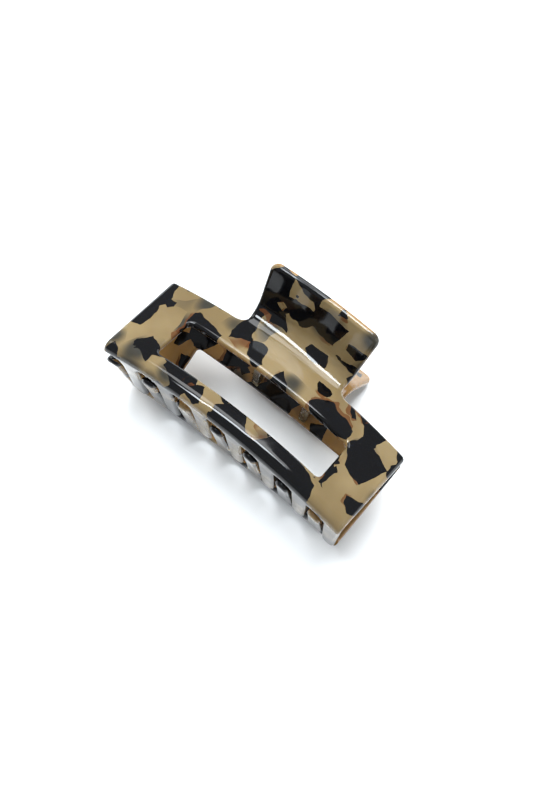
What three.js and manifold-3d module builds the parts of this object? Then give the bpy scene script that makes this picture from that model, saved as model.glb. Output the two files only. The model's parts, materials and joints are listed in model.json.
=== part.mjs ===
// A hair claw clip of cellulose acetate: two jaws, each bent from one sheet, two glued ears on
// each jaw, a steel hinge pin and a torsion spring. Both jaws are the same piece, one of them
// turned half round.
//
// Millimetres. The clip is drawn upright: X along its length, Y from the front jaw to the back
// jaw, Z from the combs up to the thumb tabs, with the hinge over the origin. At the end the
// clip is laid down on its back jaw, with +Z up, and the origin goes under its middle.

import * as THREE from 'three';
import { mergeVertices } from 'three/addons/utils/BufferGeometryUtils.js';
import Module from 'manifold-3d';

// Driving dimensions

const SHEET = 2.8;
const LEAN = THREE.MathUtils.degToRad( 26 ); // each plate leans in towards the hinge
const HALF_DEPTH = 28.5; // from the hinge plane to the sharp corner that the fold rounds off
const FOLD_RADIUS = 3.2;

const PLATE = { height: 38, topHalf: 48.4, foldHalf: 47.05, bow: 175 };
const WINDOW = { half: 32, low: 9.3, high: 26, corner: 1.8 };
const TAB = {
	turn: THREE.MathUtils.degToRad( 82 ),
	bend: 6.5,
	straight: 14.4,
	rootHalf: 19.3,
	tipHalf: 20.9,
	corner: 3,
	fillet: 3.5,
};
const COMB = {
	teeth: 7,
	pitch: 13.5,
	rootWidth: 6.6,
	tipWidth: 5.2,
	notchEnd: - 22.3, // at the middle of the clip; the notches follow the bow
	tip: 13.4,
	tilt: THREE.MathUtils.degToRad( 1.5 ), // the teeth drop a little towards their tips
};

const PIN = { height: 30.8, radius: 1.1, headRadius: 2.1, headThickness: 1 };
const EAR = { thickness: 3, inner: 7, pairGap: 0.5, boss: 4.2, hole: 1.4, baseLow: 27.5, baseHigh: 36.5 };
const SPRING = {
	wire: 0.5,
	coil: 2.75,
	half: 5.9,
	fullTurns: 8,
	leg: 10.5,
	legLean: THREE.MathUtils.degToRad( 32 ),
};

const GAP = 0.3; // between pieces that touch
const EAR_GLUE_GAP = 0.8; // the flat foot of an ear against the bowed plate
const CUT = 30; // how far a cutter reaches past what it cuts
const BOW_STEPS = 21;
const ARC_STEPS = 6;
const ROUND_STEPS = 16;
const WIRE_SIDES = 6;
const WIRE_STEPS = 150;

const EAR_OUTER = EAR.inner + 2 * EAR.thickness + EAR.pairGap;

// Directions of the upright clip, and those of the front plate: U along the clip, V up the
// plate from the fold's sharp corner, W out of the plate's outer face.

const X = new THREE.Vector3( 1, 0, 0 );
const Y = new THREE.Vector3( 0, 1, 0 );
const Z = new THREE.Vector3( 0, 0, 1 );
const V = new THREE.Vector3( 0, Math.sin( LEAN ), Math.cos( LEAN ) );
const W = new THREE.Vector3( 0, - Math.cos( LEAN ), Math.sin( LEAN ) );

const plateToClip = new THREE.Matrix4().makeBasis( X, V, W ).setPosition( 0, - HALF_DEPTH, 0 );

// Solids

const wasm = await Module();
wasm.setup();

function solidOf( geometry ) {

	const bare = geometry.clone();
	bare.deleteAttribute( 'normal' );
	bare.deleteAttribute( 'uv' );
	const merged = mergeVertices( bare );
	return new wasm.Manifold( new wasm.Mesh( {
		numProp: 3,
		vertProperties: merged.attributes.position.array,
		triVerts: new Uint32Array( merged.index.array ),
	} ) );

}

function geometryOf( solid ) {

	const mesh = solid.getMesh();
	const geometry = new THREE.BufferGeometry();
	geometry.setAttribute( 'position', new THREE.BufferAttribute( mesh.vertProperties, 3 ) );
	geometry.setIndex( new THREE.BufferAttribute( mesh.triVerts, 1 ) );
	return geometry;

}

// Extrudes a shape from one distance to another along the third of three directions, the first
// two being those that the shape is drawn in.
function extrude( shape, from, to, directions, steps = 1 ) {

	const geometry = new THREE.ExtrudeGeometry( shape, {
		depth: to - from,
		steps,
		curveSegments: ARC_STEPS,
		bevelEnabled: false,
	} );
	geometry.translate( 0, 0, from );
	return geometry.applyMatrix4( new THREE.Matrix4().makeBasis( ...directions ) );

}

// Bows a piece of the plate round an upright axis behind it. The piece is drawn flat, with U, V
// and W as its X, Y and Z.
function bow( geometry ) {

	const position = geometry.attributes.position;
	for ( let i = 0; i < position.count; i ++ ) {

		const angle = position.getX( i ) / PLATE.bow;
		const radius = PLATE.bow + position.getZ( i );
		position.setX( i, radius * Math.sin( angle ) );
		position.setZ( i, radius * Math.cos( angle ) - PLATE.bow );

	}

	return geometry;

}

// The sheet

// Where the tab's outer face ends, and the middle of its rounded lip, in V and W.
function tabEnd() {

	const along = new THREE.Vector2( Math.cos( TAB.turn ), Math.sin( TAB.turn ) );
	const inward = new THREE.Vector2( along.y, - along.x );
	const edge = new THREE.Vector2( PLATE.height, TAB.bend )
		.addScaledVector( inward, TAB.bend )
		.addScaledVector( along, TAB.straight );
	const lip = edge.clone().addScaledVector( inward, SHEET / 2 );
	return { edge, lip };

}

// The sheet's section, drawn in V and W: tab, bend, plate, fold and comb.
function sheetSection() {

	const { edge, lip } = tabEnd();
	const quarter = Math.PI / 2;
	const foldTurn = quarter + LEAN - COMB.tilt;
	const foldMiddle = FOLD_RADIUS * Math.tan( foldTurn / 2 );
	const alongComb = new THREE.Vector2( - Math.cos( foldTurn ), - Math.sin( foldTurn ) );
	const combEnd = alongComb.clone().multiplyScalar( HALF_DEPTH + COMB.tip + 1 );
	const combInner = new THREE.Vector2( - alongComb.y, alongComb.x ).multiplyScalar( SHEET ).add( combEnd );

	const section = new THREE.Shape();
	section.moveTo( edge.x, edge.y );
	section.absarc( PLATE.height, TAB.bend, TAB.bend, TAB.turn - quarter, - quarter, true );
	section.absarc( foldMiddle, - FOLD_RADIUS, FOLD_RADIUS, quarter, quarter + foldTurn, false );
	section.lineTo( combEnd.x, combEnd.y );
	section.lineTo( combInner.x, combInner.y );
	section.absarc( foldMiddle, - FOLD_RADIUS, FOLD_RADIUS - SHEET, quarter + foldTurn, quarter, true );
	section.absarc( PLATE.height, TAB.bend, TAB.bend + SHEET, - quarter, TAB.turn - quarter, false );
	section.absarc( lip.x, lip.y, SHEET / 2, TAB.turn - quarter, TAB.turn + quarter, false );
	return section;

}

// The bow squeezes the comb's length, so the sheet starts longer than the plate.
function sheet() {

	const half = 1.4 * PLATE.topHalf;
	return solidOf( bow( extrude( sheetSection(), - half, half, [ Y, Z, X ], BOW_STEPS ) ) );

}

// What lies past one end of the jaw, drawn in X and Z. The plate is a little longer at its top.
function endCutter( side ) {

	const top = PLATE.height * Math.cos( LEAN );
	const slope = ( PLATE.topHalf - PLATE.foldHalf ) / top;
	const shape = new THREE.Shape( [
		new THREE.Vector2( side * ( PLATE.foldHalf - slope * CUT ), - CUT ),
		new THREE.Vector2( side * ( PLATE.topHalf + slope * CUT ), top + CUT ),
		new THREE.Vector2( side * ( PLATE.topHalf + CUT ), top + CUT ),
		new THREE.Vector2( side * ( PLATE.topHalf + CUT ), - CUT ),
	] );
	return solidOf( extrude( shape, - CUT, 2 * CUT, [ X, Z, Y.clone().negate() ] ) );

}

// What lies beside the tab and above the plate, drawn in W and U, up to the tab's round corner.
function tabSideCutter( side ) {

	const reach = PLATE.bow + tabEnd().lip.y + SHEET / 2;
	const cornerHalf = TAB.tipHalf - TAB.corner;
	const edge = Math.sqrt( reach ** 2 - cornerHalf ** 2 ) - PLATE.bow;
	const corner = { w: edge - TAB.corner, u: side * cornerHalf };

	const shape = new THREE.Shape();
	shape.moveTo( - CUT, side * TAB.rootHalf );
	shape.lineTo( 0, side * TAB.rootHalf );
	shape.absarc( corner.w, corner.u, TAB.corner, side * Math.PI / 2, 0, side > 0 );
	shape.lineTo( edge + CUT, corner.u );
	shape.lineTo( edge + CUT, side * ( PLATE.topHalf + CUT ) );
	shape.lineTo( - CUT, side * ( PLATE.topHalf + CUT ) );
	return solidOf( extrude( shape, PLATE.height, PLATE.height + CUT, [ Z, X, Y ] ) );

}

// The rounded inside corner between the tab's side and the plate's top edge. It curls outwards
// with the tab.
function tabFillet( side ) {

	const { rootHalf, fillet, bend } = TAB;
	const overlap = 1;
	const middle = { u: side * ( rootHalf + fillet ), v: PLATE.height + fillet };
	const shape = new THREE.Shape();
	shape.moveTo( side * ( rootHalf - overlap ), PLATE.height - overlap );
	shape.lineTo( middle.u, PLATE.height - overlap );
	shape.absarc( middle.u, middle.v, fillet, - Math.PI / 2, side > 0 ? - Math.PI : 0, side > 0 );
	shape.lineTo( side * ( rootHalf - overlap ), middle.v );
	const geometry = extrude( shape, - SHEET, 0, [ X, Y, Z ] );

	const position = geometry.attributes.position;
	for ( let i = 0; i < position.count; i ++ ) {

		const rise = Math.max( position.getY( i ) - PLATE.height, 0 );
		position.setZ( i, position.getZ( i ) + bend - Math.sqrt( bend ** 2 - rise ** 2 ) );

	}

	return solidOf( bow( geometry ) );

}

function windowCutter() {

	const { half, low, high, corner } = WINDOW;
	const quarter = Math.PI / 2;
	const shape = new THREE.Shape();
	shape.absarc( half - corner, low + corner, corner, - quarter, 0, false );
	shape.absarc( half - corner, high - corner, corner, 0, quarter, false );
	shape.absarc( corner - half, high - corner, corner, quarter, 2 * quarter, false );
	shape.absarc( corner - half, low + corner, corner, 2 * quarter, 3 * quarter, false );
	return solidOf( bow( extrude( shape, - 3 * SHEET, 2 * SHEET, [ X, Y, Z ] ) ) );

}

// How far the bow brings the fold in towards the hinge plane.
function bowInset( x ) {

	return ( PLATE.bow - Math.sqrt( PLATE.bow ** 2 - x ** 2 ) ) * Math.cos( LEAN );

}

// Everything in front of the comb's outline: the notches, the space past the tips, and the
// corner that the first tooth leaves free. The last tooth is flush with the end of the plate.
function combCutter() {

	const { teeth, pitch, rootWidth, tipWidth, notchEnd, tip } = COMB;
	const notch = ( pitch - rootWidth ) / 2;
	const tipRadius = tipWidth / 2;
	const end = PLATE.topHalf + CUT;
	const shape = new THREE.Shape();
	shape.moveTo( - end, tip + CUT );
	for ( let i = 0; i < teeth; i ++ ) {

		const middle = ( i + 0.25 - ( teeth - 1 ) / 2 ) * pitch;
		const root = middle - pitch / 2;
		const rootEnd = notchEnd + bowInset( root );
		if ( i === 0 ) shape.lineTo( - end, rootEnd );
		shape.absarc( root, rootEnd + notch, notch, i === 0 ? 1.5 * Math.PI : Math.PI, 2 * Math.PI, false );
		shape.absarc( middle, tip - tipRadius, tipRadius, Math.PI, 0, true );

	}

	shape.lineTo( end, tip - tipRadius );
	shape.lineTo( end, tip + CUT );
	return solidOf( extrude( shape, - CUT, SHEET + 0.2, [ X, Y, Z ] ) );

}

function jaw() {

	let plate = sheet().subtract( windowCutter() );
	for ( const side of [ - 1, 1 ] ) {

		plate = plate.subtract( tabSideCutter( side ) ).add( tabFillet( side ) );

	}

	const bent = solidOf( geometryOf( plate ).applyMatrix4( plateToClip ) );
	return geometryOf( bent.subtract( combCutter() ).subtract( endCutter( - 1 ) ).subtract( endCutter( 1 ) ) );

}

// The hinge

// One ear of the front jaw, drawn in Y and Z: a flat foot on the plate, and a round boss.
function ear() {

	const centre = new THREE.Vector2( 0, PIN.height );
	const foot = [ EAR.baseLow, EAR.baseHigh ].map( ( v ) => {

		const point = new THREE.Vector3( 0, v, - SHEET - EAR_GLUE_GAP ).applyMatrix4( plateToClip );
		return new THREE.Vector2( point.y, point.z );

	} );
	const [ low, high ] = foot.map( ( point, i ) => {

		const arm = point.clone().sub( centre );
		const opening = Math.acos( EAR.boss / arm.length() );
		return arm.angle() + ( i === 0 ? opening : - opening );

	} );

	const shape = new THREE.Shape();
	shape.moveTo( foot[ 1 ].x, foot[ 1 ].y );
	shape.lineTo( foot[ 0 ].x, foot[ 0 ].y );
	shape.absarc( centre.x, centre.y, EAR.boss, low, high, false );
	const hole = new THREE.Path();
	hole.absarc( centre.x, centre.y, EAR.hole, 0, 2 * Math.PI, false );
	shape.holes.push( hole );
	return shape;

}

function pin() {

	const shaftEnd = EAR_OUTER + GAP;
	const { radius, headRadius, headThickness } = PIN;
	const half = [
		new THREE.Vector2( radius, shaftEnd ),
		new THREE.Vector2( headRadius, shaftEnd ),
		new THREE.Vector2( headRadius, shaftEnd + 0.4 * headThickness ),
		new THREE.Vector2( 0.6 * headRadius, shaftEnd + headThickness ),
		new THREE.Vector2( 0, shaftEnd + headThickness ),
	];
	const mirrored = half.map( ( point ) => new THREE.Vector2( point.x, - point.y ) ).reverse();
	return new THREE.LatheGeometry( [ ...mirrored, ...half ], ROUND_STEPS ).rotateZ( - Math.PI / 2 );

}

// The spring's wire: a straight leg on the back tab, the coil round the pin, and a straight leg
// on the front tab.
class SpringWire extends THREE.Curve {

	getPoint( t ) {

		const { coil, half, fullTurns, leg, legLean } = SPRING;
		const turn = Math.PI - 2 * legLean + 2 * Math.PI * fullTurns;
		const coilLength = coil * turn;
		const distance = t * ( coilLength + 2 * leg ) - leg;
		const inCoil = THREE.MathUtils.clamp( distance / coilLength, 0, 1 );
		const past = distance - inCoil * coilLength;

		const angle = - legLean - inCoil * turn;
		return new THREE.Vector3(
			half * ( 1 - 2 * inCoil ),
			coil * Math.cos( angle ) + past * Math.sin( angle ),
			PIN.height + coil * Math.sin( angle ) - past * Math.cos( angle ),
		);

	}

}

function spring() {

	const section = new THREE.Shape();
	section.absarc( 0, 0, SPRING.wire, 0, 2 * Math.PI, false );
	const wire = new SpringWire();
	wire.arcLengthDivisions = 4 * WIRE_STEPS;
	return new THREE.ExtrudeGeometry( section, {
		steps: WIRE_STEPS,
		curveSegments: WIRE_SIDES,
		extrudePath: wire,
		bevelEnabled: false,
	} );

}

// Assembly

function acetate() {

	return new THREE.MeshStandardMaterial( { color: 0xb39b6c, roughness: 0.12, metalness: 0 } );

}

function steel() {

	return new THREE.MeshStandardMaterial( { color: 0xb8bcc0, roughness: 0.3, metalness: 1 } );

}

function node( name, geometry, material, halfTurn = false ) {

	const mesh = new THREE.Mesh( geometry, material );
	mesh.name = name;
	mesh.rotation.z = halfTurn ? Math.PI : 0;
	return mesh;

}

const clip = new THREE.Group();
const jawGeometry = jaw();
const earShape = ear();
const ears = {
	left: extrude( earShape, - EAR_OUTER, EAR.thickness - EAR_OUTER, [ Y, Z, X ] ),
	right: extrude( earShape, EAR.inner, EAR.inner + EAR.thickness, [ Y, Z, X ] ),
};

for ( const side of [ 'front', 'back' ] ) {

	const isBack = side === 'back';
	clip.add( node( `${ side }_jaw`, jawGeometry, acetate(), isBack ) );
	for ( const [ name, geometry ] of Object.entries( ears ) ) {

		clip.add( node( `${ side }_ear_${ name }`, geometry, acetate(), isBack ) );

	}

}

const hingePin = node( 'hinge_pin', pin(), steel() );
hingePin.position.z = PIN.height;
clip.add( hingePin, node( 'torsion_spring', spring(), steel() ) );

// Laid down on the back jaw, with the origin under the middle of its box.
clip.rotation.x = - Math.PI / 2;
const claw = new THREE.Group();
claw.add( clip );
const box = new THREE.Box3().setFromObject( claw, true );
const middle = box.getCenter( new THREE.Vector3() );
clip.position.set( - middle.x, - middle.y, - box.min.z );

export default claw;
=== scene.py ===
"""The looks of a tortoiseshell claw clip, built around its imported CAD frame.

Laid out as an add-on: a property group holds the sizes and colours, each operator makes one
group of pieces, and a panel lists them. Sizes are metres in the frame's own axes: X along the
clip, Y from the combs to the thumb tabs, Z up from the back jaw to the front jaw.
"""

import json
import math

import bmesh
import bpy
from bpy.props import FloatProperty, FloatVectorProperty, IntProperty, PointerProperty
from mathutils import Matrix, Vector


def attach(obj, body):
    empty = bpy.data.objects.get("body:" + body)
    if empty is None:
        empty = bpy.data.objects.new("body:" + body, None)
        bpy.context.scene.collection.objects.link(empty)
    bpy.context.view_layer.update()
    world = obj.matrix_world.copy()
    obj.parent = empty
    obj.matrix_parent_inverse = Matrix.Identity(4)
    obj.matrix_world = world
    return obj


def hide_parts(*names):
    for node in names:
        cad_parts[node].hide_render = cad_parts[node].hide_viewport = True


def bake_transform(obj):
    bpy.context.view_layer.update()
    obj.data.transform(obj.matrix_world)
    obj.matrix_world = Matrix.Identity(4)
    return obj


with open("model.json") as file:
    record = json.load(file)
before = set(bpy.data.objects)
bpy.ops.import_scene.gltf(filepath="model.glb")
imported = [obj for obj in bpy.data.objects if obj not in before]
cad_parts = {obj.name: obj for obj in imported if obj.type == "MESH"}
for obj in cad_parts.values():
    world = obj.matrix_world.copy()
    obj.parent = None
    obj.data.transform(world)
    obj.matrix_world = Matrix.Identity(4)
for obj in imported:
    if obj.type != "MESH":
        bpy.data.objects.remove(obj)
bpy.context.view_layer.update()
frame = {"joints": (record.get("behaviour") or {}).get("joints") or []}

bl_info = {
    "name": "Claw Clip",
    "version": (1, 0, 0),
    "blender": (4, 5, 0),
    "location": "3D View > Sidebar > Claw Clip",
    "description": "Models a sprung tortoiseshell claw clip around its frame",
    "category": "Add Mesh",
}

MM = 0.001
QUARTER = math.pi / 2
HINGE = Vector(frame["joints"][0]["pos_m"])

# Spacing of the cuts that let the flat sheet bend smoothly
FOLD_STEP = 0.24 * MM
TAB_STEP = 0.7 * MM
LIP_STEP = 0.2 * MM
BOW_STEP = 1.6 * MM

LIP_START = 1.8 * MM  # where the tab's lip starts to round off, from its end
LIP_TAPER = 1.5 * MM
LIP_THINNING = 0.6
GLOW_FROM, GLOW_OVER = 0.1, 0.4  # shares of the sheet's depth over which the painted glow of light through the sheet comes in
COIL_STEP = 9  # degrees of the coil from one ring of the wire to the next
HEAD_CHAMFER = 0.15 * MM
WIRE_CHAMFER = 0.15 * MM

# Cells per metre of the two sizes of dark flakes, and the share of the cells that are dark
DARK_FLAKES = ((100, 0.35), (185, 0.18))
SUNK_FLAKES = (100, 0.55)

# Where in the block of acetate each jaw is cut
CUT_FROM = {"front": (0.31, 0.12, 0.47), "back": (1.13, 0.66, 0.29)}

AIM = Vector((0.6, -4.7, 25.7)) * MM  # what the camera looks at
LIGHTS = (  # name, width, length, watts, tint, place
    ("overhead", 0.18, 0.70, 12.0, (0.88, 0.95, 1.0), (-0.17, 0.16, 0.95)),
    ("window", 0.7, 0.9, 14.0, (0.97, 0.99, 1.0), (-0.30, 0.80, 1.0)),
    ("left", 0.4, 0.4, 2.5, (1.0, 0.98, 0.95), (-0.95, 0.1, 0.6)),
    ("right", 0.4, 0.4, 2.5, (1.0, 1.0, 1.0), (0.95, 0.1, 0.7)),
)


def length(name, default, description):
    return FloatProperty(name=name, description=description, default=default, min=0.0,
                         subtype="DISTANCE", unit="LENGTH", precision=5)


def angle(name, degrees, description):
    return FloatProperty(name=name, description=description, default=math.radians(degrees),
                         subtype="ANGLE", unit="ROTATION")


def colour(name, default, description):
    return FloatVectorProperty(name=name, description=description, default=default, size=3,
                               min=0.0, max=1.0, subtype="COLOR")


# Settings


class ClipJawSettings(bpy.types.PropertyGroup):
    """The sheet that each jaw is bent from."""

    sheet: length("Sheet", 2.8 * MM, "Thickness of the acetate sheet")
    lean: angle("Lean", 26, "How far each plate leans in towards the hinge")
    half_depth: length("Half depth", 28.5 * MM, "From the hinge plane to the fold's sharp corner")
    fold_radius: length("Fold radius", 3.2 * MM, "Outer radius of the fold between plate and comb")
    plate_height: length("Plate height", 38 * MM, "From the fold's sharp corner to the top edge")
    plate_top_half: length("Plate half length, top", 48.28 * MM, "Half the plate's top edge")
    plate_fold_half: length("Plate half length, fold", 46.95 * MM, "Half the length along the fold")
    plate_corner: length("Plate corner", 1.3 * MM, "Radius of the plate's top corners")
    bow: length("Bow", 175 * MM, "Radius that the plate's outer face is bowed to")
    window_half: length("Window half length", 32 * MM, "Half the window's length")
    window_low: length("Window low edge", 9.3 * MM, "From the fold's corner to the low edge")
    window_high: length("Window high edge", 26 * MM, "From the fold's corner to the high edge")
    window_corner: length("Window corner", 1.8 * MM, "Radius of the window's corners")
    tab_turn: angle("Tab turn", 82, "How far the thumb tab is bent out of the plate")
    tab_bend: length("Tab bend", 6.5 * MM, "Radius of the tab's hollow side")
    tab_straight: length("Tab length", 14.4 * MM, "Straight part of the tab, without its lip")
    tab_root_half: length("Tab half width, root", 19.3 * MM, "Half the tab's width at the plate")
    tab_tip_half: length("Tab half width, tip", 20.9 * MM, "Half the tab's width at its lip")
    tab_corner: length("Tab corner", 3 * MM, "Radius of the tab's free corners")
    tab_fillet: length("Tab fillet", 3.5 * MM, "Radius of the inside corner beside the tab")
    teeth: IntProperty(name="Teeth", description="Teeth of one comb", default=7, min=2, max=15)
    pitch: length("Pitch", 13.5 * MM, "From one tooth to the next")
    root_width: length("Tooth width, root", 6.6 * MM, "Width of a tooth where it leaves the fold")
    tip_width: length("Tooth width, tip", 5.2 * MM, "Width of a tooth at its round tip")
    notch_end: length("Notch end", 22.3 * MM, "From the hinge plane to the middle notches' ends")
    tip_reach: length("Tip reach", 13.4 * MM, "How far the tips reach past the hinge plane")
    tilt: angle("Tilt", 1.5, "How far the teeth drop towards their tips")
    edge_radius: length("Edge radius", 1.2 * MM, "Radius of the polished edges")


class ClipHingeSettings(bpy.types.PropertyGroup):
    """The ears, the pin and the spring."""

    height: length("Hinge height", 30.8 * MM, "From the combs' underside to the pin's axis")
    boss: length("Boss radius", 4.2 * MM, "Radius of an ear round the pin")
    ear_thickness: length("Ear thickness", 3 * MM, "Thickness of an ear along the pin")
    ear_inner: length("Inner ears", 7 * MM, "From the clip's middle to the inner ears")
    ear_gap: length("Ear gap", 0.5 * MM, "Between an inner and an outer ear")
    ear_edge: length("Ear edge radius", 0.35 * MM, "Radius of the ears' polished edges")
    ear_hole: length("Ear hole radius", 1.4 * MM, "Radius of the hole through an ear")
    ear_low: length("Ear foot, low", 27.5 * MM, "Low end of an ear's foot, up the plate")
    ear_high: length("Ear foot, high", 36.5 * MM, "High end of an ear's foot, up the plate")
    ear_seat: length("Ear seat", 3.6 * MM, "From the plate's outer face to the ear's foot")
    pin: length("Pin radius", 1.1 * MM, "Radius of the pin's shaft")
    head: length("Head radius", 2.1 * MM, "Radius of the pin's heads")
    head_gap: length("Head gap", 0.3 * MM, "Between a head and its ear")
    head_height: length("Head height", 1 * MM, "How far a head stands off its ear")
    wire: length("Wire radius", 0.5 * MM, "Radius of the spring's wire")
    coil: length("Coil radius", 2.75 * MM, "Radius of the coil at the middle of its wire")
    coil_half: length("Coil half length", 5.9 * MM, "Half the coil's length along the pin")
    turns: IntProperty(name="Full turns", description="Full turns of the coil", default=8, min=2)
    leg: length("Leg", 10.5 * MM, "Length of the legs that press on the tabs")
    leg_lean: angle("Leg lean", 32, "How far each leg leans out from upright")


class ClipFinishSettings(bpy.types.PropertyGroup):
    """The colours of the acetate and the steel."""

    milk: colour("Milk", (0.212, 0.155, 0.078), "The sheet's pale base")
    honey: colour("Honey", (0.152, 0.107, 0.050), "The base where it is thinner")
    # Painted light: amber laid on cut edges and inner faces, standing in for light through the
    # sheet and shade on the inward faces
    painted_glow_colour: colour("Amber", (0.30, 0.14, 0.028), "Cut edges and inner faces, lit through the sheet")
    ink: colour("Ink", (0.002, 0.002, 0.0025), "The dark flakes")
    rust: colour("Rust", (0.085, 0.026, 0.006), "The thin rims of the flakes")
    smoke: colour("Smoke", (0.022, 0.023, 0.021), "Flakes seen through a layer of the sheet")
    ear: colour("Ear", (0.42, 0.34, 0.21), "The plain acetate of the ears")
    steel: colour("Steel", (0.62, 0.62, 0.60), "Pin and spring")


class ClipStageSettings(bpy.types.PropertyGroup):
    """The floor, the camera and the lights."""

    floor: colour("Floor", (0.95, 0.95, 0.95), "The plain pale floor")
    sky: colour("Surroundings", (0.92, 0.96, 1.0), "The room round the clip")
    sky_strength: FloatProperty(name="Surroundings' strength", default=0.45, min=0.0,
                                description="How bright the room round the clip is")
    azimuth: angle("Camera azimuth", 47.95, "Turn of the camera round the clip")
    elevation: angle("Camera elevation", 76.4, "Height of the camera above the horizon")
    roll: angle("Camera roll", -9.47, "Turn of the camera about its own axis")
    distance: length("Camera distance", 0.3292, "From the camera to the point it looks at")
    lens: FloatProperty(name="Lens", description="Focal length", default=45.0, min=1.0,
                        subtype="DISTANCE_CAMERA", unit="CAMERA")


# The bent sheet


class Bend:
    """Takes a point of the flat sheet to its place on the front jaw.

    The flat sheet is drawn with x along the clip and s up the plate. On the plate, s is the
    distance from the fold's sharp corner; past the bends it runs on along the tab and the comb.
    The depth goes from the outer face to the inner one.
    """

    def __init__(self, jaw, hinge_height):
        self.jaw = jaw
        self.fold_turn = math.pi / 2 + jaw.lean - jaw.tilt
        self.fold_start = jaw.fold_radius * math.tan(self.fold_turn / 2)
        self.fold_end = self.fold_start - jaw.fold_radius * self.fold_turn
        self.bend_end = jaw.plate_height + (jaw.tab_bend + jaw.sheet / 2) * jaw.tab_turn
        self.tab_end = self.bend_end + jaw.tab_straight + jaw.sheet / 2
        self.origin = Vector((0, HINGE.y - hinge_height, HINGE.z))

    def section(self, s, depth):
        """(up the plate, out of the plate) for a place along the sheet's section."""
        jaw = self.jaw
        if s > jaw.plate_height:
            turn = min((s - jaw.plate_height) / (jaw.tab_bend + jaw.sheet / 2), jaw.tab_turn)
            radius = jaw.tab_bend + depth
            past = max(s - self.bend_end, 0)
            up = jaw.plate_height + radius * math.sin(turn) + past * math.cos(turn)
            return up, jaw.tab_bend - radius * math.cos(turn) + past * math.sin(turn)
        if s < self.fold_start:
            turn = min((self.fold_start - s) / jaw.fold_radius, self.fold_turn)
            radius = jaw.fold_radius - depth
            past = max(self.fold_end - s, 0)
            up = self.fold_start - radius * math.sin(turn) - past * math.cos(turn)
            return up, radius * math.cos(turn) - jaw.fold_radius - past * math.sin(turn)
        return s, -depth

    def upright(self, x, s, depth):
        """(front to back, up) in the upright clip, with the combs' underside at 0."""
        jaw = self.jaw
        up, out = self.section(s, depth)
        out = math.sqrt((jaw.bow + out) ** 2 - x * x) - jaw.bow
        across = up * math.sin(jaw.lean) - out * math.cos(jaw.lean) - jaw.half_depth
        return across, up * math.cos(jaw.lean) + out * math.sin(jaw.lean)

    def place(self, x, s, depth):
        """The point in the frame."""
        across, up = self.upright(x, s, depth)
        return self.origin + Vector((x, up, -across))

    def bow_inset(self, x):
        """How far the bow brings a place of the fold in towards the hinge plane."""
        return (self.jaw.bow - math.sqrt(self.jaw.bow ** 2 - x * x)) * math.cos(self.jaw.lean)

    def along_comb(self, x, across):
        """The s of the place on the comb that ends up that far across the clip."""
        s = self.fold_end - across - self.jaw.half_depth
        for _ in range(6):
            s += self.upright(x, s, 0)[0] - across
        return s


# Mesh helpers


def arc(centre, radius, start, end, steps):
    """Points of an arc, its two ends included. Angles are in quarter turns."""
    turns = [(start + (end - start) * i / steps) * QUARTER for i in range(steps + 1)]
    return [(centre[0] + radius * math.cos(t), centre[1] + radius * math.sin(t)) for t in turns]


def ring(bm, outline):
    """A closed loop of edges through the outline's points."""
    verts = [bm.verts.new((x, y, 0)) for x, y in outline]
    return [bm.edges.new(pair) for pair in zip(verts, verts[1:] + verts[:1])]


def plate_solid(outlines, thickness, edge_radius, segments):
    """A flat solid from closed outlines, the first outside and the others holes, edges rounded."""
    bm = bmesh.new()
    edges = [edge for outline in outlines for edge in ring(bm, outline)]
    bmesh.ops.triangle_fill(bm, use_beauty=True, use_dissolve=True, edges=edges, normal=(0, 0, 1))
    grown = bmesh.ops.extrude_face_region(bm, geom=bm.faces[:])["geom"]
    top = [part for part in grown if isinstance(part, bmesh.types.BMVert)]
    bmesh.ops.translate(bm, vec=(0, 0, thickness), verts=top)
    bmesh.ops.recalc_face_normals(bm, faces=bm.faces)
    rims = [edge for edge in bm.edges if len(edge.link_faces) == 2 and is_rim(edge)]
    bmesh.ops.bevel(bm, geom=rims, offset=edge_radius, offset_type="OFFSET", affect="EDGES",
                    segments=segments, profile=0.5, material=-1, clamp_overlap=False)
    return bm


def is_rim(edge):
    """Whether the edge is where a flat face meets a side wall."""
    flat = [abs(face.normal.z) > 0.5 for face in edge.link_faces]
    return flat[0] != flat[1]


def slice_across(bm, axis, places):
    """Cuts the mesh's faces by planes across one axis."""
    for place in places:
        point, normal = Vector(), Vector()
        point[axis] = place
        normal[axis] = 1
        bmesh.ops.bisect_plane(bm, geom=bm.verts[:] + bm.edges[:] + bm.faces[:], dist=1e-7,
                               plane_co=point, plane_no=normal)


def steps_between(start, end, step):
    """Evenly spaced values from start to end, about a step apart."""
    count = max(1, round(abs(end - start) / step))
    return [start + (end - start) * i / count for i in range(count + 1)]


def piece(name, bm, material):
    """A finished object made from the bmesh."""
    mesh = bpy.data.meshes.new(name)
    bm.to_mesh(mesh)
    bm.free()
    mesh.materials.append(material)
    for polygon in mesh.polygons:
        polygon.use_smooth = True
    obj = bpy.data.objects.new(name, mesh)
    bpy.context.scene.collection.objects.link(obj)
    return obj


def weigh_normals(obj):
    """Keeps broad faces flat in the shading, next to their rounded edges."""
    modifier = obj.modifiers.new("weighted_normals", "WEIGHTED_NORMAL")
    modifier.mode = "FACE_AREA"
    modifier.weight = 80


# Materials


def new_material(name):
    material = bpy.data.materials.new(name)
    material.use_nodes = True
    tree = material.node_tree
    tree.nodes.clear()
    output = tree.nodes.new("ShaderNodeOutputMaterial")
    shader = tree.nodes.new("ShaderNodeBsdfPrincipled")
    tree.links.new(shader.outputs[0], output.inputs["Surface"])
    return material, tree, shader


def rgba(value):
    return (*value, 1.0)


def math_node(tree, operation, a, b):
    node = tree.nodes.new("ShaderNodeMath")
    node.operation = operation
    for socket, value in zip(node.inputs, (a, b)):
        if isinstance(value, bpy.types.NodeSocket):
            tree.links.new(value, socket)
        else:
            socket.default_value = value
    return node.outputs[0]


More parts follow.
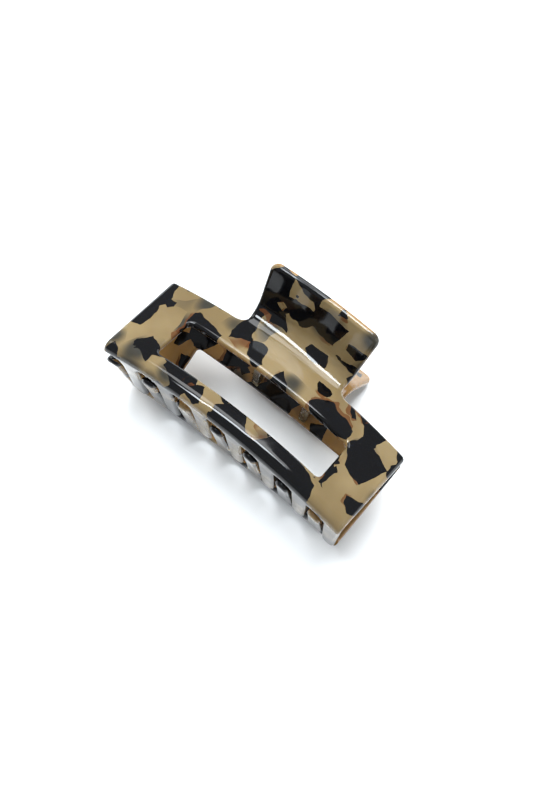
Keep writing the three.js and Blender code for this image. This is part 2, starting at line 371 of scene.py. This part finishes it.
def ramp(tree, value, low, high):
    """0 below low and 1 above high, smoothly between."""
    node = tree.nodes.new("ShaderNodeMapRange")
    node.interpolation_type = "SMOOTHSTEP"
    node.inputs["From Min"].default_value = low
    node.inputs["From Max"].default_value = high
    tree.links.new(value, node.inputs["Value"])
    return node.outputs["Result"]


def mix_colour(tree, factor, a, b):
    node = tree.nodes.new("ShaderNodeMix")
    node.data_type = "RGBA"
    tree.links.new(factor, node.inputs[0])
    for socket, value in zip(node.inputs[6:8], (a, b)):
        if isinstance(value, bpy.types.NodeSocket):
            tree.links.new(value, socket)
        else:
            socket.default_value = rgba(value)
    return node.outputs[2]


def place_of(tree, offset):
    """Object coordinates, moved so that each jaw is cut from its own part of the block."""
    coords = tree.nodes.new("ShaderNodeTexCoord")
    mapping = tree.nodes.new("ShaderNodeMapping")
    mapping.inputs["Location"].default_value = offset
    mapping.inputs["Rotation"].default_value = (0.6, 0.35, 0.9)
    tree.links.new(coords.outputs["Object"], mapping.inputs["Vector"])
    return mapping.outputs["Vector"]


def noise(tree, place, per_metre, detail):
    node = tree.nodes.new("ShaderNodeTexNoise")
    node.inputs["Scale"].default_value = per_metre
    node.inputs["Detail"].default_value = detail
    tree.links.new(place, node.inputs["Vector"])
    return node.outputs


def warped(tree, place, per_metre, amount):
    """The place, pushed about by a noise, so that straight cell edges come out wavy."""
    push = noise(tree, place, per_metre, detail=1.5)
    moved = tree.nodes.new("ShaderNodeVectorMath")
    moved.operation = "MULTIPLY_ADD"
    moved.inputs[1].default_value = (amount,) * 3
    tree.links.new(push["Color"], moved.inputs[0])
    tree.links.new(place, moved.inputs[2])
    return moved.outputs["Vector"]


def cells(tree, place, per_metre):
    """(random value of the cell, distance to its middle in cell sizes)."""
    node = tree.nodes.new("ShaderNodeTexVoronoi")
    node.inputs["Scale"].default_value = per_metre
    tree.links.new(place, node.inputs["Vector"])
    split = tree.nodes.new("ShaderNodeSeparateColor")
    tree.links.new(node.outputs["Color"], split.inputs["Color"])
    return split.outputs["Red"], node.outputs["Distance"]


def polish(tree, shader, place, depth):
    """The slight waves that polishing leaves, which bend the reflections."""
    bump = tree.nodes.new("ShaderNodeBump")
    bump.inputs["Distance"].default_value = depth
    bump.inputs["Strength"].default_value = 1.0
    tree.links.new(noise(tree, place, 95, detail=1)["Fac"], bump.inputs["Height"])
    tree.links.new(bump.outputs["Normal"], shader.inputs["Normal"])


def tortoiseshell(name, finish, offset):
    """Milky acetate with angular dark flakes, some at the surface and some deeper."""
    material, tree, shader = new_material(name)
    place = place_of(tree, offset)

    clouds = ramp(tree, noise(tree, place, 40, detail=3)["Fac"], 0.35, 0.65)
    base = mix_colour(tree, clouds, finish.milk, finish.honey)
    # Painted glow: inner faces and cut walls are mixed towards amber, a painted stand-in for light
    # through the sheet and for shade on the inward faces
    painted_glow_mask = tree.nodes.new("ShaderNodeAttribute")
    painted_glow_mask.attribute_name = "painted_glow_mask"
    glow = math_node(tree, "MULTIPLY", painted_glow_mask.outputs["Fac"], 0.55)
    base = mix_colour(tree, glow, base, finish.painted_glow_colour)

    deep_place = warped(tree, place, 80, 0.007)
    per_metre, share = SUNK_FLAKES
    chance, distance = cells(tree, deep_place, per_metre)
    sunk = math_node(tree, "LESS_THAN", chance, share)
    veil = math_node(tree, "MULTIPLY", sunk, ramp(tree, distance, 0.7, 0.25))
    base = mix_colour(tree, math_node(tree, "MULTIPLY", veil, 0.92), base, finish.smoke)

    flake_place = warped(tree, place, 200, 0.0026)
    rim_place = warped(tree, flake_place, 330, 0.0016)
    rust_here = ramp(tree, noise(tree, place, 75, detail=1)["Fac"], 0.5, 0.6)
    for per_metre, share in DARK_FLAKES:
        dark = math_node(tree, "LESS_THAN", cells(tree, flake_place, per_metre)[0], share)
        rim = math_node(tree, "LESS_THAN", cells(tree, rim_place, per_metre)[0], share)
        rim = math_node(tree, "MULTIPLY", rim, math_node(tree, "MULTIPLY", rust_here, 0.8))
        base = mix_colour(tree, rim, base, finish.rust)
        base = mix_colour(tree, dark, base, finish.ink)

    tree.links.new(base, shader.inputs["Base Color"])
    polish(tree, shader, place, 0.00028)
    shader.inputs["Roughness"].default_value = 0.07
    shader.inputs["IOR"].default_value = 1.4
    shader.inputs["Subsurface Weight"].default_value = 0.25
    shader.inputs["Subsurface Radius"].default_value = (1.0, 0.6, 0.25)
    shader.inputs["Subsurface Scale"].default_value = 0.0012
    return material


def clear_acetate(name, finish):
    """The ears' plain acetate: honey-coloured and see-through, with faint clouds."""
    material, tree, shader = new_material(name)
    place = place_of(tree, (0.2, 0.4, 0.1))
    clouds = ramp(tree, noise(tree, place, 220, detail=3)["Fac"], 0.3, 0.7)
    tree.links.new(mix_colour(tree, clouds, finish.ear, finish.honey), shader.inputs["Base Color"])
    polish(tree, shader, place, 0.00006)
    shader.inputs["Roughness"].default_value = 0.12
    shader.inputs["IOR"].default_value = 1.49
    shader.inputs["Transmission Weight"].default_value = 0.45
    shader.inputs["Subsurface Weight"].default_value = 0.5
    shader.inputs["Subsurface Radius"].default_value = (1.0, 0.7, 0.4)
    shader.inputs["Subsurface Scale"].default_value = 0.002
    return material


def steel(name, finish, per_metre, low, high):
    """Plated steel, with faint drawing marks that vary its gloss."""
    material, tree, shader = new_material(name)
    place = place_of(tree, (0, 0, 0))
    marks = noise(tree, place, per_metre, detail=4)["Fac"]
    tone = mix_colour(tree, marks, [0.75 * c for c in finish.steel], finish.steel)
    tree.links.new(tone, shader.inputs["Base Color"])
    shader.inputs["Metallic"].default_value = 1.0
    rough = tree.nodes.new("ShaderNodeMapRange")
    rough.inputs["To Min"].default_value = low
    rough.inputs["To Max"].default_value = high
    tree.links.new(marks, rough.inputs["Value"])
    tree.links.new(rough.outputs["Result"], shader.inputs["Roughness"])
    return material


# Pieces


def jaw_outlines(jaw, bend):
    """The flat sheet's outline and its window."""
    top, end, side = jaw.plate_height, jaw.plate_top_half, jaw.plate_fold_half
    corner, fillet, tab_corner = jaw.plate_corner, jaw.tab_fillet, jaw.tab_corner
    slope = (end - side) / (top - bend.fold_start)

    right = [(side, bend.fold_start)]
    right += arc((end - corner - slope * corner, top - corner), corner, 0, 1, 5)
    right += arc((jaw.tab_root_half + fillet, top + fillet), fillet, -1, -2, 8)
    right += arc((jaw.tab_tip_half - tab_corner, bend.tab_end - tab_corner), tab_corner, 0, 1, 10)
    left = [(-x, s) for x, s in reversed(right)]

    notch = (jaw.pitch - jaw.root_width) / 2
    tip = jaw.tip_width / 2
    comb = []
    for i in range(jaw.teeth):
        middle = (i + 0.25 - (jaw.teeth - 1) / 2) * jaw.pitch
        root = middle - jaw.pitch / 2
        root_end = bend.bow_inset(root) - jaw.notch_end
        if i == 0:
            comb.append((-side, root_end))
        comb += arc((root, root_end + notch), notch, 3 if i == 0 else 2, 4, 12 if i else 6)
        comb += arc((middle, jaw.tip_reach - tip), tip, 2, 0, 12)
    comb = [(min(x, side), across) for x, across in comb]
    comb = [(x, bend.along_comb(x, across)) for x, across in comb]

    low, high, half, bit = jaw.window_low, jaw.window_high, jaw.window_half, jaw.window_corner
    window = []
    for quarter, (x, s) in enumerate(((half - bit, high - bit), (bit - half, high - bit),
                                      (bit - half, low + bit), (half - bit, low + bit))):
        window += arc((x, s), bit, quarter, quarter + 1, 5)
    return [right + left + comb, window]


def jaw_mesh(jaw, bend):
    """The front jaw's mesh, bent from its flat sheet."""
    bm = plate_solid(jaw_outlines(jaw, bend), jaw.sheet, jaw.edge_radius, 4)
    lip = bend.tab_end
    slice_across(bm, 1, steps_between(bend.fold_end, bend.fold_start, FOLD_STEP))
    slice_across(bm, 1, steps_between(jaw.plate_height, bend.bend_end, TAB_STEP))
    slice_across(bm, 1, steps_between(lip - LIP_START, lip - LIP_STEP, LIP_STEP))
    slice_across(bm, 0, steps_between(-jaw.plate_top_half, jaw.plate_top_half, BOW_STEP)[1:-1])

    # How deep in the sheet each point lies, which drives the painted glow of light through the
    # sheet on inner faces and cut walls
    painted_glow_mask = bm.verts.layers.float.new("painted_glow_mask")
    half = jaw.sheet / 2
    for vert in bm.verts:
        x, s, depth = vert.co
        thin = min(max(1 - (lip - s) / LIP_TAPER, 0), 1)
        depth = half + (depth - half) * math.sqrt(1 - LIP_THINNING * thin * thin)
        vert[painted_glow_mask] = min(max((depth / jaw.sheet - GLOW_FROM) / GLOW_OVER, 0), 1)
        vert.co = bend.place(x, s, depth)
    bmesh.ops.recalc_face_normals(bm, faces=bm.faces)
    return bm


class CLIP_OT_jaws(bpy.types.Operator):
    """Bend the two tortoiseshell jaws"""

    bl_idname = "claw_clip.jaws"
    bl_label = "Jaws"

    def execute(self, context):
        clip = context.scene.claw_clip
        bend = Bend(clip.jaw, clip.hinge.height)
        for side, offset in CUT_FROM.items():
            material = tortoiseshell(f"{side}_tortoiseshell", clip.finish, offset)
            bm = jaw_mesh(clip.jaw, bend)
            if side == "back":
                bmesh.ops.transform(bm, matrix=half_turn(), verts=bm.verts)
            obj = piece(f"{side}_bent_sheet", bm, material)
            weigh_normals(obj)
            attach(obj, side)
            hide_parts(f"{side}_jaw")
        return {"FINISHED"}


def half_turn():
    """Swaps the front jaw's side with the back jaw's."""
    turn = Matrix.Rotation(math.pi, 4, "Y")
    return Matrix.Translation(HINGE) @ turn @ Matrix.Translation(-HINGE)


def ears_end(hinge):
    """How far the outer ears reach from the clip's middle."""
    return hinge.ear_inner + 2 * hinge.ear_thickness + hinge.ear_gap


def ear_outlines(jaw, hinge):
    """An ear's outline and its hole, across and up from the pin's axis."""
    foot = []
    for up in (hinge.ear_high, hinge.ear_low):
        across = up * math.sin(jaw.lean) + hinge.ear_seat * math.cos(jaw.lean) - jaw.half_depth
        height = up * math.cos(jaw.lean) - hinge.ear_seat * math.sin(jaw.lean) - hinge.height
        foot.append((across, height))
    high, low = ((math.atan2(y, x), math.acos(hinge.boss / math.hypot(x, y))) for x, y in foot)
    boss = arc((0, 0), hinge.boss, sum(low) / QUARTER, (high[0] - high[1]) / QUARTER, 40)
    hole = arc((0, 0), hinge.ear_hole, 0, 4, 32)[:-1]
    return [foot + boss, hole]


class CLIP_OT_ears(bpy.types.Operator):
    """Cut the four ears that carry the pin"""

    bl_idname = "claw_clip.ears"
    bl_label = "Ears"

    def execute(self, context):
        clip = context.scene.claw_clip
        hinge = clip.hinge
        upright = Matrix(((0, 0, 1, 0), (0, 1, 0, 0), (-1, 0, 0, 0), (0, 0, 0, 1)))
        material = clear_acetate("clear_acetate", clip.finish)
        for side in ("front", "back"):
            for end, start in (("left", -ears_end(hinge)), ("right", hinge.ear_inner)):
                bm = plate_solid(ear_outlines(clip.jaw, hinge), hinge.ear_thickness,
                                 hinge.ear_edge, 3)
                place = Matrix.Translation(HINGE + Vector((start, 0, 0))) @ upright
                if side == "back":
                    place = half_turn() @ place
                bmesh.ops.transform(bm, matrix=place, verts=bm.verts)
                obj = piece(f"{side}_{end}_ear", bm, material)
                weigh_normals(obj)
                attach(obj, side)
                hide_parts(f"{side}_ear_{end}")
        return {"FINISHED"}


class CLIP_OT_pin(bpy.types.Operator):
    """Turn the hinge pin with its two domed heads"""

    bl_idname = "claw_clip.pin"
    bl_label = "Pin"

    def execute(self, context):
        clip = context.scene.claw_clip
        hinge = clip.hinge
        face = ears_end(hinge) + hinge.head_gap
        rim = 0.3 * hinge.head_height
        right = [(face, hinge.pin), (face, hinge.head - HEAD_CHAMFER),
                 (face + HEAD_CHAMFER, hinge.head)]
        for out, rise in arc((0, 0), 1, 0, 1, 8):
            right.append((face + rim + (hinge.head_height - rim) * rise, hinge.head * out))
        right[-1] = (right[-1][0], 0)
        profile = [(-x, r) for x, r in reversed(right)] + right
        bm = bmesh.new()
        verts = [bm.verts.new(HINGE + Vector((x, r, 0))) for x, r in profile]
        edges = [bm.edges.new(pair) for pair in zip(verts, verts[1:])]
        bmesh.ops.spin(bm, geom=verts + edges, cent=HINGE, axis=(1, 0, 0), dvec=(0, 0, 0),
                       angle=2 * math.pi, steps=48, use_merge=True)
        bmesh.ops.remove_doubles(bm, verts=bm.verts, dist=1e-6)
        bmesh.ops.recalc_face_normals(bm, faces=bm.faces)
        obj = piece("domed_pin", bm, steel("pin_steel", clip.finish, 900, 0.16, 0.34))
        obj.modifiers.new("edges", "EDGE_SPLIT").split_angle = math.radians(50)
        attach(obj, "back")
        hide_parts("hinge_pin")
        return {"FINISHED"}


class CLIP_OT_spring(bpy.types.Operator):
    """Wind the torsion spring round the pin"""

    bl_idname = "claw_clip.spring"
    bl_label = "Spring"

    def execute(self, context):
        clip = context.scene.claw_clip
        hinge = clip.hinge
        turn = math.pi - 2 * hinge.leg_lean + 2 * math.pi * hinge.turns
        steps = round(math.degrees(turn) / COIL_STEP)
        lean = hinge.leg_lean
        start = HINGE + Vector((hinge.coil_half, -hinge.coil * math.sin(lean),
                                -hinge.coil * math.cos(lean)))
        back_leg = Vector((0, math.cos(lean), -math.sin(lean))) * hinge.leg
        front_leg = Vector((0, math.cos(lean), math.sin(lean))) * hinge.leg

        bm = bmesh.new()
        facing = back_leg.to_track_quat("Z", "X").to_matrix().to_4x4()
        bmesh.ops.create_circle(bm, cap_ends=False, segments=12, radius=hinge.wire,
                                matrix=Matrix.Translation(start) @ facing)
        first = bm.edges[:]
        wound = bmesh.ops.spin(bm, geom=first, cent=HINGE, axis=(-1, 0, 0), angle=turn, steps=steps,
                               dvec=(-2 * hinge.coil_half / steps, 0, 0), use_merge=False)
        last = [part for part in wound["geom_last"] if isinstance(part, bmesh.types.BMEdge)]
        for edges, leg in ((first, back_leg), (last, front_leg)):
            grown = bmesh.ops.extrude_edge_only(bm, edges=edges)["geom"]
            ends = [part for part in grown if isinstance(part, bmesh.types.BMVert)]
            rim = [part for part in grown if isinstance(part, bmesh.types.BMEdge)
                   and all(vert in ends for vert in part.verts)]
            bmesh.ops.translate(bm, vec=leg, verts=ends)
            bmesh.ops.edgeloop_fill(bm, edges=rim)
            bmesh.ops.bevel(bm, geom=rim, offset=WIRE_CHAMFER, offset_type="OFFSET", affect="EDGES",
                            segments=2, profile=0.5, material=-1)
        bmesh.ops.recalc_face_normals(bm, faces=bm.faces)
        obj = piece("torsion_wire", bm, steel("spring_steel", clip.finish, 1400, 0.22, 0.42))
        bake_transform(obj)
        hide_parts("torsion_spring")
        return {"FINISHED"}


class CLIP_OT_stage(bpy.types.Operator):
    """Set the floor, the lights and the camera"""

    bl_idname = "claw_clip.stage"
    bl_label = "Stage"

    def execute(self, context):
        stage = context.scene.claw_clip.stage
        material, _, shader = new_material("pale_floor")
        shader.inputs["Base Color"].default_value = rgba(stage.floor)
        shader.inputs["Roughness"].default_value = 0.9
        bm = bmesh.new()
        bmesh.ops.create_grid(bm, x_segments=1, y_segments=1, size=3.0)
        floor = piece("floor", bm, material)

        level = math.cos(stage.elevation)
        back = Vector((math.sin(stage.azimuth) * level, -math.cos(stage.azimuth) * level,
                       math.sin(stage.elevation)))
        data = bpy.data.cameras.new("camera")
        data.lens = stage.lens
        data.sensor_width = 36.0
        data.clip_start = 0.01
        camera = bpy.data.objects.new("camera", data)
        context.scene.collection.objects.link(camera)
        turn = (-back).to_track_quat("-Z", "Y").to_matrix().to_4x4()
        roll = Matrix.Rotation(stage.roll, 4, "Z")
        camera.matrix_world = Matrix.Translation(AIM + back * stage.distance) @ turn @ roll
        context.scene.camera = camera

        world = bpy.data.worlds.new("studio")
        world.use_nodes = True
        background = world.node_tree.nodes["Background"]
        background.inputs["Color"].default_value = rgba(stage.sky)
        background.inputs["Strength"].default_value = stage.sky_strength
        context.scene.world = world
        context.scene.view_settings.view_transform = "Standard"
        for name, wide, long, energy, tint, where in LIGHTS:
            light = bpy.data.lights.new(name, "AREA")
            light.shape = "RECTANGLE"
            light.size, light.size_y = long, wide
            light.energy = energy
            light.color = tint
            lamp = bpy.data.objects.new(name, light)
            lamp.matrix_world = (Matrix.Translation(where)
                                 @ (-Vector(where)).to_track_quat("-Z", "Y").to_matrix().to_4x4())
            context.scene.collection.objects.link(lamp)
        return {"FINISHED"}


# Panel and registration


class ClipSettings(bpy.types.PropertyGroup):
    """All the clip's settings."""

    jaw: PointerProperty(type=ClipJawSettings)
    hinge: PointerProperty(type=ClipHingeSettings)
    finish: PointerProperty(type=ClipFinishSettings)
    stage: PointerProperty(type=ClipStageSettings)


class CLIP_PT_panel(bpy.types.Panel):
    """The clip's pieces and settings"""

    bl_idname = "CLIP_PT_panel"
    bl_label = "Claw Clip"
    bl_space_type = "VIEW_3D"
    bl_region_type = "UI"
    bl_category = "Claw Clip"

    def draw(self, context):
        clip = context.scene.claw_clip
        for group, operators in ((clip.jaw, PIECES[:1]), (clip.hinge, PIECES[1:-1]),
                                 (clip.finish, ()), (clip.stage, PIECES[-1:])):
            box = self.layout.box()
            for name in group.bl_rna.properties.keys():
                if name not in ("rna_type", "name"):
                    box.prop(group, name)
            for operator in operators:
                box.operator(operator.bl_idname)


PIECES = (CLIP_OT_jaws, CLIP_OT_ears, CLIP_OT_pin, CLIP_OT_spring, CLIP_OT_stage)
CLASSES = (ClipJawSettings, ClipHingeSettings, ClipFinishSettings, ClipStageSettings, ClipSettings,
           *PIECES, CLIP_PT_panel)


def register():
    for cls in CLASSES:
        bpy.utils.register_class(cls)
    bpy.types.Scene.claw_clip = PointerProperty(type=ClipSettings)


def unregister():
    del bpy.types.Scene.claw_clip
    for cls in reversed(CLASSES):
        bpy.utils.unregister_class(cls)


def main():
    register()
    for operator in PIECES:
        group, name = operator.bl_idname.split(".")
        getattr(getattr(bpy.ops, group), name)()


if __name__ == "__main__":
    main()
